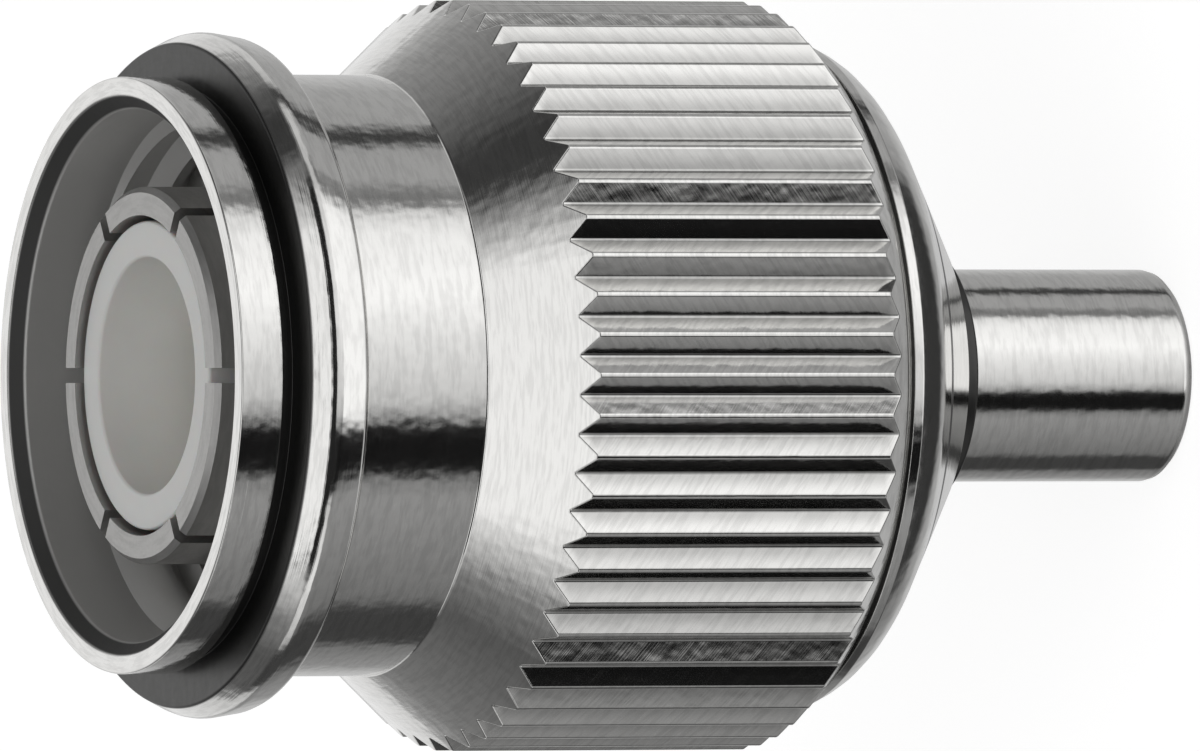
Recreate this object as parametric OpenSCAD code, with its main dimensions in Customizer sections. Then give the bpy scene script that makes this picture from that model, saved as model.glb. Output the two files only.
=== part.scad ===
// Threaded coaxial cable plug, crimp type for a thin cable, stood on the end
// of its crimp ferrule with the mating mouth up. All sizes are millimetres.
// The axis of the plug is Z, and the origin is the middle of the ferrule's end.

/* [Coupling nut outside] */
// Diameter over the crests of the knurl
knurl_d = 16; // [15:0.1:18]
// Number of knurl teeth around the nut
knurl_teeth = 58; // [40:2:72]
// Depth of the knurl's V grooves
knurl_depth = 0.29; // [0.25:0.01:0.5]
// Height of the sharp crest that is turned off each tooth
crest_trim = 0.1; // [0.02:0.01:0.14]
// Length of the full-height knurl
knurl_len = 6.84; // [5:0.02:9]
// Chamfer at the rear end of the knurl
knurl_chamfer = 0.6; // [0.45:0.05:0.8]
// Angle of the cone in front of the knurl, measured from the axis
front_cone_angle = 40.5; // [30:0.5:55]
// Wall of the plain neck outside the thread
neck_wall = 0.835; // [0.6:0.005:1.1]
// Length of the plain neck
neck_len = 3.04; // [2:0.02:5]
// Height of the collar in front of the neck
collar_height = 0.91; // [0.5:0.01:1.1]
// Length of the collar from its rear face to its peak
collar_len = 0.825; // [0.5:0.005:1.5]
// Fall of the collar's radius from its peak to its rear face
collar_draft = 0.13; // [0.05:0.01:0.3]
// Chamfer height at the front of the collar
collar_chamfer = 0.26; // [0.1:0.01:0.4]
// Chamfer length at the front of the collar
collar_chamfer_len = 0.525; // [0.3:0.005:0.9]
// Length of the short tube at the mouth
mouth_len = 0.95; // [0.6:0.01:2]
// Width of the rim at the mouth
rim_w = 0.38; // [0.25:0.01:0.6]
// Edge break on the outside of the rim
rim_break = 0.08; // [0.04:0.01:0.12]
// Width of the relief groove between the mouth tube and the collar
relief_len = 0.31; // [0.2:0.01:0.5]
// Depth of that relief groove
relief_depth = 0.2; // [0.1:0.01:0.25]
// Diameter of the lip behind the knurl
lip_d = 14.38; // [13.6:0.02:14.6]
// Length of the lip
lip_len = 0.21; // [0.15:0.01:0.5]
// Width of the groove between the knurl and the lip
lip_groove_len = 0.26; // [0.15:0.01:0.5]
// Depth of that groove below the lip
lip_groove_depth = 0.24; // [0.1:0.01:0.35]
// Length of the shallow taper behind the lip
taper_len = 0.62; // [0.4:0.01:1]
// Fall of radius over the shallow taper
taper_fall = 0.3; // [0.1:0.01:0.5]
// Angle of the rear cone, measured from the axis
rear_cone_angle = 56.7; // [50:0.1:65]
// Width of the flat ring left at the nut's rear end
rear_face_w = 0.7; // [0.4:0.05:1]
// Thickness of the nut's rear wall at its hole
rear_wall = 1.9; // [1.6:0.05:2.6]

/* [Coupling thread] */
// Major diameter of the thread in the nut
thread_d = 11.11; // [10.8:0.01:11.6]
// Depth of the thread, major to minor, measured on the radius
thread_depth = 0.405; // [0.35:0.005:0.5]
// Clearance of the lead-in bore over the thread's major diameter, on the radius
lead_clear = 0.095; // [0.05:0.005:0.2]
// Chamfer at the mouth of the lead-in bore
lead_chamfer = 0.3; // [0.15:0.05:0.4]
// Depth of the lead-in bore from the mouth
lead_len = 1.7; // [1:0.05:2.5]
// Length of the thread
thread_len = 6.2; // [4.5:0.1:6.5]
// Width of the relief groove behind the thread
thread_relief_len = 0.9; // [0.6:0.05:1.2]

/* [Outer contact] */
// Width of the space for the jack's barrel, between the thread and the slotted sleeve
mating_gap = 1.15; // [1:0.01:1.3]
// Wall of the sleeve
contact_wall = 0.6; // [0.4:0.02:0.7]
// Distance of the sleeve's front behind the nut's mouth
contact_recess = 0.46; // [0.1:0.02:1]
// Number of spring fingers
fingers = 6; // [4:2:8]
// Width of the slots between the fingers
slot_w = 0.32; // [0.2:0.02:0.6]
// Length of the slots
slot_len = 6.2; // [4:0.1:7.5]
// Length of sleeve held in the body
contact_seat_len = 3; // [2:0.1:3.4]
// Step of the sleeve's thicker base, on the radius
contact_base_step = 0.25; // [0.2:0.01:0.35]
// Chamfer on the tips of the fingers
finger_chamfer = 0.12; // [0.05:0.01:0.2]

/* [Insulators and pin] */
// Gap between the front insulator and the fingers
insulator_gap = 0.12; // [0.06:0.01:0.2]
// Distance of the insulator's front behind the sleeve's front
insulator_recess = 0.14; // [0.1:0.02:0.6]
// Wall of the front insulator around its socket
insulator_wall = 0.77; // [0.5:0.01:0.9]
// Depth of the socket for the jack's insulator
socket_depth = 5.5; // [4:0.1:6.5]
// Diameter of the mating pin
pin_d = 1.35; // [1.32:0.01:1.37]
// Distance of the pin's tip behind the insulator's front
pin_recess = 2; // [1.4:0.1:3]
// Diameter of the collar that holds the pin
pin_collar_d = 2.7; // [2.4:0.1:3]
// Length of that collar
pin_collar_len = 0.6; // [0.4:0.05:0.9]
// Diameter of the pin's rear end
pin_tail_d = 2; // [1.95:0.05:2.2]
// Diameter of the hole for the cable's inner wire
wire_hole_d = 0.6; // [0.4:0.05:0.8]
// Depth of that hole
wire_hole_len = 1.8; // [1:0.1:2.2]
// Distance of the pin's rear end inside the rear insulator
pin_tail_inset = 0.6; // [0.3:0.05:0.8]
// Overlap of the two insulators' joint past the sleeve's rear end
joint_lap = 0.8; // [0.4:0.05:1.2]

/* [Body and gasket] */
// Depth of the mating space from the sleeve's front to the gasket
mating_depth = 8.2; // [7.8:0.05:8.6]
// Thickness of the gasket
gasket_thick = 0.9; // [0.6:0.05:1.2]
// Clearance of the gasket inside the nut
gasket_clear = 0.15; // [0.1:0.01:0.25]
// Length of the body's flange
body_flange_len = 3.8; // [3.4:0.1:4.2]
// Wall between the retaining ring's groove and the sleeve
groove_wall = 0.3; // [0.25:0.01:0.4]
// Wall of the body behind the flange
barrel_wall = 0.9; // [0.6:0.05:1.2]
// Thickness of the floor under the rear insulator
floor_thick = 1; // [0.6:0.05:1.4]
// Diameter of the body's neck in the nut's rear hole
body_neck_d = 5.6; // [5:0.05:6.2]
// Length of neck that shows between the nut and the ferrule
neck_show = 0.65; // [0.4:0.05:1]

/* [Retaining ring] */
// Thickness of the split ring
ring_thick = 0.7; // [0.5:0.05:0.9]
// Depth of the ring's groove in the nut
nut_groove_depth = 0.57; // [0.45:0.01:0.7]
// Width of the split
ring_split = 1.2; // [0.6:0.1:2]

/* [Crimp end] */
// Outside diameter of the ferrule
ferrule_d = 4.55; // [4.2:0.05:5]
// Wall of the ferrule
ferrule_wall = 0.575; // [0.4:0.025:0.65]
// Length of the ferrule
ferrule_len = 5.4; // [4.5:0.05:7]
// Rounding of the ferrule's free end
ferrule_round = 0.3; // [0.15:0.05:0.35]
// Diameter of the hole for the cable's core
cable_bore_d = 1.6; // [1.4:0.05:1.8]
// Wall of the crimp stem
stem_wall = 0.35; // [0.25:0.01:0.4]
// Distance of the stem's end inside the ferrule
stem_inset = 0.7; // [0.4:0.05:1.2]
// Chamfer at the stem's end
stem_chamfer = 0.15; // [0.05:0.01:0.2]
// Length of the shoulder that centres the ferrule
shoulder_len = 0.8; // [0.5:0.05:1.2]

/* [Fits] */
// Running clearance of the nut on the body's flange, on the radius
swivel_gap = 0.05; // [0.03:0.01:0.09]
// Clearance of the nut's rear hole on the body's neck, on the radius
neck_gap = 0.15; // [0.1:0.01:0.25]
// Axial play of the nut on the body
end_play = 0.1; // [0.06:0.01:0.2]
// Clearance of the retaining ring in the nut's groove
ring_gap = 0.08; // [0.05:0.01:0.12]
// Clearance between pieces that are pushed together, on the radius
seat_gap = 0.02; // [0.01:0.005:0.03]

/* [Hidden] */
$fn = 116;

// The side of the plug with a slot and a knurl crest in its middle
front_side = -90;
// Turn of the slotted sleeve's seam, away from the middle of a finger or a slot
seam_turn = 7.5;
// Extra length that carries a cut clear of the face it starts from
cut_over = 1;

// Radii of the nut
thread_minor_r = thread_d / 2 - thread_depth;
lead_r = thread_d / 2 + lead_clear;
mouth_bore_r = lead_r + lead_chamfer;
mouth_r = mouth_bore_r + rim_w;
neck_r = thread_d / 2 + neck_wall;
collar_r = neck_r + collar_height;
knurl_r = knurl_d / 2;
knurl_root_r = knurl_r - knurl_depth;
lip_r = lip_d / 2;
taper_r = lip_r - taper_fall;
nut_hole_r = body_neck_d / 2 + neck_gap;
rear_face_r = nut_hole_r + rear_face_w;
nut_groove_r = thread_minor_r + nut_groove_depth;

// Heights along the nut, from its rear face to its mouth
nut_rear_z = ferrule_len + neck_show;
taper_z = nut_rear_z + (taper_r - rear_face_r) / tan(rear_cone_angle);
lip_z = taper_z + taper_len;
lip_groove_z = lip_z + lip_len;
chamfer_z = lip_groove_z + lip_groove_len;
knurl_z = chamfer_z + knurl_chamfer;
front_cone_z = knurl_z + knurl_len;
neck_z = front_cone_z + (knurl_r - neck_r) / tan(front_cone_angle);
collar_z = neck_z + neck_len;
collar_peak_z = collar_z + collar_len;
relief_z = collar_peak_z + collar_chamfer_len;
mouth_tube_z = relief_z + relief_len;
mouth_z = mouth_tube_z + mouth_len;
nut_floor_z = nut_rear_z + rear_wall;
lead_z = mouth_z - lead_len;
thread_top_z = lead_z - (lead_r - thread_minor_r);
thread_end_z = thread_top_z - thread_len;

// Outer contact
contact_r = thread_minor_r - mating_gap;
contact_base_r = contact_r + contact_base_step;
contact_bore_r = contact_r - contact_wall;
contact_front_z = mouth_z - contact_recess;

// Gasket and body
gasket_top_z = contact_front_z - mating_depth;
gasket_seat_z = gasket_top_z - gasket_thick;
gasket_r = thread_minor_r - gasket_clear;
body_flange_r = thread_minor_r - swivel_gap;
body_flange_z = gasket_seat_z - body_flange_len;
contact_rear_z = gasket_seat_z - contact_seat_len;
contact_seat_r = contact_base_r + seat_gap;
barrel_r = contact_bore_r + barrel_wall;
barrel_z = nut_floor_z + end_play;
chamber_floor_z = barrel_z + floor_thick;

// Retaining ring, halfway along the flange and resting in the body's groove
body_groove_r = contact_seat_r + groove_wall;
ring_bore_r = body_groove_r + ring_gap;
ring_r = nut_groove_r - ring_gap;
ring_z = body_flange_z + (body_flange_len - ring_thick) / 2;
ring_top_z = ring_z + ring_thick;

// Insulators and pin
insulator_front_z = contact_front_z - insulator_recess;
insulator_r = contact_bore_r - insulator_gap;
insulator_seat_r = contact_bore_r - seat_gap;
socket_r = insulator_r - insulator_wall;
insulator_step_z = contact_front_z - slot_len - slot_w;
socket_floor_z = insulator_front_z - socket_depth;
insulator_joint_z = contact_rear_z + joint_lap;
pin_r = pin_d / 2;
pin_tip_z = insulator_front_z - pin_recess;
pin_collar_r = pin_collar_d / 2;
pin_collar_z = insulator_joint_z - pin_collar_len;
pin_tail_r = pin_tail_d / 2;
pin_tail_z = chamber_floor_z + pin_tail_inset;

// Crimp end
ferrule_r = ferrule_d / 2;
ferrule_bore_r = ferrule_r - ferrule_wall;
cable_bore_r = cable_bore_d / 2;
stem_r = cable_bore_r + stem_wall;
shoulder_r = ferrule_bore_r - seat_gap;
shoulder_z = ferrule_len - shoulder_len;

nickel = [0.78, 0.78, 0.77];
spring_metal = [0.72, 0.72, 0.71];
gold = [0.85, 0.68, 0.32];
white_plastic = [0.93, 0.93, 0.91];
dark_rubber = [0.62, 0.25, 0.2];

// A turned piece from half of its section, as radius and height pairs
module turned(section) {
    rotate_extrude() polygon(section);
}

// A tube between two heights
module tube(outer_r, inner_r, low_z, high_z) {
    turned([[inner_r, low_z], [outer_r, low_z], [outer_r, high_z], [inner_r, high_z]]);
}

// Outline of the knurl: straight sides from each root up to a sharp crest
module knurl_outline() {
    half_tooth = 180 / knurl_teeth;
    polygon([
        for (i = [0 : 2 * knurl_teeth - 1])
            let (
                r = i % 2 == 0 ? knurl_r + crest_trim : knurl_root_r,
                a = front_side + i * half_tooth
            )
            [r * cos(a), r * sin(a)]
    ]);
}

// Everything outside the knurl's outline, from the lip's groove to the neck
module knurl_cut() {
    translate([0, 0, chamfer_z])
        linear_extrude(neck_z - chamfer_z)
            difference() {
                circle(knurl_r + cut_over);
                knurl_outline();
            }
}

module coupling_nut() {
    color(nickel)
        difference() {
            turned([
                [nut_hole_r, nut_rear_z],
                [rear_face_r, nut_rear_z],
                [taper_r, taper_z],
                [lip_r, lip_z],
                [lip_r, lip_groove_z],
                [lip_r - lip_groove_depth, lip_groove_z],
                [lip_r - lip_groove_depth, chamfer_z],
                [knurl_r - knurl_chamfer, chamfer_z],
                [knurl_r, knurl_z],
                [knurl_r, front_cone_z],
                [neck_r, neck_z],
                [neck_r, collar_z],
                [collar_r - collar_draft, collar_z],
                [collar_r, collar_peak_z],
                [collar_r - collar_chamfer, relief_z],
                [mouth_r - relief_depth, relief_z],
                [mouth_r - relief_depth, mouth_tube_z],
                [mouth_r, mouth_tube_z],
                [mouth_r, mouth_z - rim_break],
                [mouth_r - rim_break, mouth_z],
                [mouth_bore_r, mouth_z],
                [lead_r, mouth_z - lead_chamfer],
                [lead_r, lead_z],
                [thread_minor_r, thread_top_z],
                [thread_minor_r, thread_end_z],
                [lead_r, thread_end_z],
                [lead_r, thread_end_z - thread_relief_len],
                [thread_minor_r, thread_end_z - thread_relief_len],
                [thread_minor_r, ring_top_z + ring_gap],
                [nut_groove_r, ring_top_z + ring_gap],
                [nut_groove_r, ring_z - ring_gap],
                [thread_minor_r, ring_z - ring_gap],
                [thread_minor_r, nut_floor_z],
                [nut_hole_r, nut_floor_z]
            ]);
            knurl_cut();
        }
}

module retaining_ring() {
    color(spring_metal)
        difference() {
            tube(ring_r, ring_bore_r, ring_z, ring_top_z);
            translate([0, -ring_split / 2, ring_z - cut_over])
                cube([knurl_r, ring_split, ring_thick + 2 * cut_over]);
        }
}

module body() {
    color(nickel)
        turned([
            [cable_bore_r, stem_inset],
            [stem_r - stem_chamfer, stem_inset],
            [stem_r, stem_inset + stem_chamfer],
            [stem_r, shoulder_z],
            [shoulder_r, shoulder_z],
            [shoulder_r, ferrule_len],
            [body_neck_d / 2, ferrule_len],
            [body_neck_d / 2, barrel_z],
            [barrel_r, barrel_z],
            [barrel_r, body_flange_z],
            [body_flange_r, body_flange_z],
            [body_flange_r, ring_z],
            [body_groove_r, ring_z],
            [body_groove_r, ring_top_z + ring_gap],
            [body_flange_r, ring_top_z + ring_gap],
            [body_flange_r, gasket_seat_z],
            [contact_seat_r, gasket_seat_z],
            [contact_seat_r, contact_rear_z],
            [contact_bore_r, contact_rear_z],
            [contact_bore_r, chamber_floor_z],
            [cable_bore_r, chamber_floor_z]
        ]);
}

module gasket() {
    color(dark_rubber)
        tube(gasket_r, contact_seat_r, gasket_seat_z, gasket_top_z);
}

module outer_contact() {
    slot_floor_z = contact_front_z - slot_len;
    color(spring_metal)
        rotate(seam_turn) difference() {
            turned([
                [contact_bore_r, contact_rear_z],
                [contact_base_r, contact_rear_z],
                [contact_base_r, gasket_top_z],
                [contact_r, gasket_top_z],
                [contact_r, contact_front_z - finger_chamfer],
                [contact_r - finger_chamfer, contact_front_z],
                [contact_bore_r, contact_front_z]
            ]);
            for (i = [0 : fingers - 1])
                rotate(front_side - seam_turn + i * 360 / fingers)
                    translate([0, -slot_w / 2, slot_floor_z])
                        cube([contact_base_r + cut_over, slot_w, slot_len + cut_over]);
        }
}

module front_insulator() {
    color(white_plastic)
        turned([
            [pin_r + seat_gap, insulator_joint_z],
            [insulator_seat_r, insulator_joint_z],
            [insulator_seat_r, insulator_step_z],
            [insulator_r, insulator_step_z],
            [insulator_r, insulator_front_z],
            [socket_r, insulator_front_z],
            [socket_r, socket_floor_z],
            [pin_r + seat_gap, socket_floor_z]
        ]);
}

module rear_insulator() {
    color(white_plastic)
        turned([
            [pin_tail_r + seat_gap, chamber_floor_z],
            [insulator_seat_r, chamber_floor_z],
            [insulator_seat_r, insulator_joint_z],
            [pin_collar_r + seat_gap, insulator_joint_z],
            [pin_collar_r + seat_gap, pin_collar_z],
            [pin_tail_r + seat_gap, pin_collar_z]
        ]);
}

module center_contact() {
    color(gold) {
        turned([
            [wire_hole_d / 2, pin_tail_z],
            [pin_tail_r, pin_tail_z],
            [pin_tail_r, pin_collar_z],
            [pin_collar_r, pin_collar_z],
            [pin_collar_r, insulator_joint_z],
            [pin_r, insulator_joint_z],
            [pin_r, pin_tip_z - pin_r],
            [0, pin_tip_z - pin_r],
            [0, pin_tail_z + wire_hole_len],
            [wire_hole_d / 2, pin_tail_z + wire_hole_len]
        ]);
        translate([0, 0, pin_tip_z - pin_r]) sphere(pin_r);
    }
}

module crimp_ferrule() {
    color(nickel) {
        tube(ferrule_r, ferrule_bore_r, ferrule_round, ferrule_len);
        tube(ferrule_r - ferrule_round, ferrule_bore_r, 0, ferrule_round);
        rotate_extrude()
            translate([ferrule_r - ferrule_round, ferrule_round])
                intersection() {
                    circle(ferrule_round);
                    translate([0, -ferrule_round]) square(ferrule_round);
                }
    }
}

coupling_nut();
retaining_ring();
body();
gasket();
outer_contact();
front_insulator();
rear_insulator();
center_contact();
crimp_ferrule();
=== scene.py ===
"""Looks of a threaded coaxial cable plug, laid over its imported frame."""

import math
from types import SimpleNamespace

import bmesh
import bpy
from mathutils import Matrix, Vector


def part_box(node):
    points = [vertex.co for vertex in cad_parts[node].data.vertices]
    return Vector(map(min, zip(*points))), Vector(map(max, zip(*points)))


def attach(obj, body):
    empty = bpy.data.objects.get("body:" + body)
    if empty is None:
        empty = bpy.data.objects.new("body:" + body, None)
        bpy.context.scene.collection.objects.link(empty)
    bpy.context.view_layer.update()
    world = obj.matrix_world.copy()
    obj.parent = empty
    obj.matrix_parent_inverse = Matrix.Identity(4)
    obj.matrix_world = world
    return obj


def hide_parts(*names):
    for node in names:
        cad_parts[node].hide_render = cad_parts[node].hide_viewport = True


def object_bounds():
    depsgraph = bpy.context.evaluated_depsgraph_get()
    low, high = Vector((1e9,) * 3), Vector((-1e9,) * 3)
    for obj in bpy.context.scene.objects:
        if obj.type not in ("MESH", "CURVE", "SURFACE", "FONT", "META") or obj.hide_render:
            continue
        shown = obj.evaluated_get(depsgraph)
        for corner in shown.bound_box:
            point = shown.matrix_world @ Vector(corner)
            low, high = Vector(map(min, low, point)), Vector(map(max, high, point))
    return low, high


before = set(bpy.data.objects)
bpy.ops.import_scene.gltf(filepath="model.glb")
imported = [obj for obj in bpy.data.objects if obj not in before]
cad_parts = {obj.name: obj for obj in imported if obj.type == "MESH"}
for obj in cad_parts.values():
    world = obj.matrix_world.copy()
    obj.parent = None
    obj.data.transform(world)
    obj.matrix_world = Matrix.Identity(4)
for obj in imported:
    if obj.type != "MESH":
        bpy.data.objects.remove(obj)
CAD_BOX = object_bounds()

bl_info = {
    "name": "Threaded coaxial plug",
    "version": (1, 0, 0),
    "blender": (4, 5, 0),
    "location": "View3D > Sidebar > Plug",
    "description": "Builds the turned pieces of a coaxial cable plug and the studio they stand in",
    "category": "Mesh",
}

MM = 0.001
FULL_TURN = 2 * math.pi
CENTRE = (0.0, 0.0, 0.0)
AXIS = (0.0, 0.0, 1.0)
# Vertices closer than this are one vertex
WELD = 1e-7
# Two lengths closer than this are the same length
SAME = 2e-6
# Segments in a rounded edge
ROUND_STEPS = 3
# Columns in a plain turned piece
TURN_STEPS = 192
# Columns in one tooth of the knurl
TOOTH_STEPS = 6
# Columns in one turn of the thread
THREAD_STEPS = 116
# Columns in the slotted sleeve; a slot is two of them wide
SLEEVE_STEPS = 120
# Sides of the floor
FLOOR_STEPS = 96
# An edge that turns by more than this stays crisp
CRISP = math.radians(38)
# Crest, flank and root of the thread along the axis, as shares of its pitch
THREAD_CREST = 1 / 4
THREAD_FLANK = 5 / 16
THREAD_ROOT = 1 / 8
# Radial room between pieces that are pressed together
PRESS_GAP = 0.02 * MM
# Rounding of the pin's tip, as a share of its radius
TIP_ROUND = 0.9
# Pitches from the stem's end to its first groove
FIRST_GROOVE = 0.75

# Shift of the tool marks along the axis, as a share of their distance from it
MARK_SLANT = 1.3
# Depth of the tool marks and of the slow waves under them
MARK_DEPTH = 0.02 * MM
WAVE_DEPTH = 0.008 * MM
# Height of the grain among the tool marks, as a share of theirs
GRAIN_RELIEF = 0.3
# Width over which the painted shade fades out
SHADE_EDGE = 0.05 * MM
# What the painted shade leaves of the nickel's colour, in the bore and in the grooves
BORE_SHADE = 0.9
GROOVE_SHADE = 0.05
# Strength of the painted shade in the grooves and on the knurl's flanks
GROOVE_SHADE_STRENGTH = 0.95
FLANK_SHADE_STRENGTH = 0.35
# Shares of the knurl's depth at which the painted shade on its flanks starts and is full
FLANK_SHADE_START = 0.1
FLANK_SHADE_FULL = 0.95
# How much rougher the bore, the grooves and the ferrule's cut end are
BORE_AND_GROOVE_ROUGHNESS = 0.28
CUT_ROUGHNESS = 0.4
# Share of the metal's sheen that the bore has lost
BORE_DULL = 0.4

# Tones around the plug, as pairs of degrees from the camera's side towards +X and brightness
LOWER_RING = (
    (-180, 0.62), (-160, 0.55), (-150, 0.35), (-129, 0.22), (-123, 0.06), (-102, 0.06), (-95, 0.2),
    (-48, 0.35), (-41, 0.27), (-37, 0.01), (-19, 0.01), (-16, 0.42), (-8, 0.75), (16, 1.05),
    (32, 1.3), (56, 1.15), (65, 0.9), (70, 0.2), (75, 0.24), (80, 0.44), (97, 0.42),
    (102, 0.05), (107, 0.05), (113, 0.42), (140, 0.44), (155, 0.55), (180, 0.62),
)
UPPER_RING = (
    (-180, 1.0), (-160, 0.7), (-144, 0.24), (-105, 0.11), (-88, 0.26), (-62, 1.15), (48, 1.1),
    (66, 0.45), (80, 0.05), (95, 0.05), (120, 0.22), (144, 0.35), (162, 0.75), (180, 1.0),
)
HORIZON_RING = (
    (-180, 0.95), (-140, 0.75), (-128, 0.6), (-123, 0.06), (-102, 0.06), (-96, 0.6), (-70, 1.0),
    (-43, 0.8), (-38, 0.02), (-18, 0.02), (-14, 0.7), (20, 1.0), (60, 0.9), (66, 0.6),
    (97, 0.7), (102, 0.06), (107, 0.06), (112, 0.6), (140, 0.75), (180, 0.95),
)
# Tones of the sill under the camera, the flag behind it and the flags overhead
SILL_TONE = 1.25
FLAG_TONE = 0.02
OVERHEAD_TONE = 0.25
# Tone of the dark arc under the plug, what is added on its two sides, and how much it bends
ARC_TONE = 0.045
FAR_SIDE_TONE = 0.37
NEAR_SIDE_TONE = 0.6
ARC_BEND = 1.45

nut_low, nut_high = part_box("coupling_nut")
ring_low, ring_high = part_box("retaining_ring")
sleeve_low, sleeve_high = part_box("outer_contact")
socket_low, socket_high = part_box("front_insulator")
bead_low, bead_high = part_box("rear_insulator")
pin_low, pin_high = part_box("center_contact")
seal_low, seal_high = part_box("gasket")
body_low, body_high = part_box("body")
ferrule_low, ferrule_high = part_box("crimp_ferrule")


def size(name, description, millimetres):
    """A length that the sidebar shows, given in millimetres."""
    return bpy.props.FloatProperty(
        name=name, description=description, default=millimetres * MM, min=0.0, precision=6, unit="LENGTH"
    )


def framed(name, description, metres):
    """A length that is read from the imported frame."""
    return bpy.props.FloatProperty(
        name=name, description=description, default=float(metres), precision=6, unit="LENGTH"
    )


def angle(name, description, degrees):
    """An angle that the sidebar shows, given in degrees."""
    return bpy.props.FloatProperty(
        name=name, description=description, default=math.radians(degrees), subtype="ANGLE"
    )


def colour(name, description, red, green, blue):
    """A colour that the sidebar shows."""
    return bpy.props.FloatVectorProperty(
        name=name, description=description, default=(red, green, blue), min=0.0, max=1.0, subtype="COLOR"
    )


def measure(name, description, value):
    """A number without a unit that the sidebar shows."""
    return bpy.props.FloatProperty(name=name, description=description, default=value, min=0.0)


def count(name, description, value, least):
    """A whole number that the sidebar shows."""
    return bpy.props.IntProperty(name=name, description=description, default=value, min=least)


class NutSizes(bpy.types.PropertyGroup):
    """Sizes of the knurled coupling nut"""

    rear_z: framed("Rear", "Height of the nut's rear face", nut_low[2])
    mouth_z: framed("Mouth", "Height of the nut's mouth", nut_high[2])
    knurl_r: framed("Knurl radius", "Radius over the knurl's crests", nut_high[1])
    teeth: count("Teeth", "Number of knurl teeth", 58, least=8)
    knurl_depth: size("Knurl depth", "Depth of the V grooves", 0.29)
    crest_share: measure("Crest share", "Share of a tooth that is left flat at its crest", 0.1)
    root_share: measure("Root share", "Share of a tooth that is flat at its root", 0.06)
    knurl_len: size("Knurl length", "Length of the full-height knurl", 6.84)
    knurl_chamfer: size("Knurl chamfer", "Chamfer at the knurl's rear end", 0.6)
    tooth_round: size("Tooth rounding", "Rounding of the crests, roots and ends of the teeth", 0.055)
    cone_angle: angle("Front cone", "Angle of the front cone from the axis", 40.5)
    neck_r: size("Neck radius", "Radius of the plain neck", 6.39)
    neck_len: size("Neck length", "Length of the plain neck", 3.04)
    collar_r: size("Collar radius", "Radius at the collar's peak", 7.3)
    collar_draft: size("Collar draft", "Fall of radius from the peak to the collar's rear face", 0.13)
    collar_len: size("Collar length", "Length from the collar's rear face to its peak", 0.825)
    collar_chamfer: size("Collar chamfer", "Height of the chamfer in front of the peak", 0.26)
    collar_chamfer_len: size("Collar chamfer length", "Length of that chamfer", 0.525)
    relief_len: size("Relief width", "Width of the groove in front of the collar", 0.31)
    relief_depth: size("Relief depth", "Depth of that groove", 0.2)
    mouth_r: size("Mouth radius", "Outside radius of the mouth tube", 6.33)
    lead_r: size("Lead-in radius", "Radius of the plain bore before the thread", 5.65)
    lead_chamfer: size("Lead-in chamfer", "Chamfer at the mouth of that bore", 0.3)
    lead_len: size("Lead-in depth", "Depth of that bore from the mouth", 1.7)
    thread_minor_r: size("Thread minor radius", "Radius at the thread's crests", 5.15)
    thread_depth: size("Thread depth", "Depth of the thread", 0.405)
    thread_pitch: size("Thread pitch", "Advance of the thread in one turn", 0.907)
    thread_len: size("Thread length", "Length of the thread", 6.2)
    thread_relief: size("Thread relief", "Width of the groove behind the thread", 0.9)
    ring_groove_r: size("Ring groove radius", "Radius of the retaining ring's groove", 5.72)
    ring_low_z: framed("Ring underside", "Height of the retaining ring's lower face", ring_low[2])
    ring_high_z: framed("Ring top", "Height of the retaining ring's upper face", ring_high[2])
    ring_gap: size("Ring clearance", "Room of the ring in that groove, on each side", 0.08)
    lip_r: size("Lip radius", "Radius of the lip behind the knurl", 7.19)
    lip_len: size("Lip length", "Length of the lip", 0.21)
    lip_groove_len: size("Lip groove width", "Width of the groove between lip and knurl", 0.26)
    lip_groove_depth: size("Lip groove depth", "Depth of that groove", 0.24)
    taper_len: size("Taper length", "Length of the shallow taper behind the lip", 0.62)
    taper_fall: size("Taper fall", "Fall of radius over that taper", 0.3)
    rear_cone_angle: angle("Rear cone", "Angle of the rear cone from the axis", 56.7)
    rear_face_r: size("Rear face radius", "Radius of the flat rear face", 3.65)
    rear_hole_r: size("Rear hole radius", "Radius of the hole in the rear wall", 2.95)
    rear_wall: size("Rear wall", "Thickness of the rear wall", 1.9)
    collar_round: size("Collar rounding", "Rounding of the collar's peak and rear edge", 0.16)
    shoulder_round: size("Shoulder rounding", "Rounding between the taper and the rear cone", 0.4)
    edge_round: size("Edge rounding", "Rounding of the turned edges", 0.04)


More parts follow.
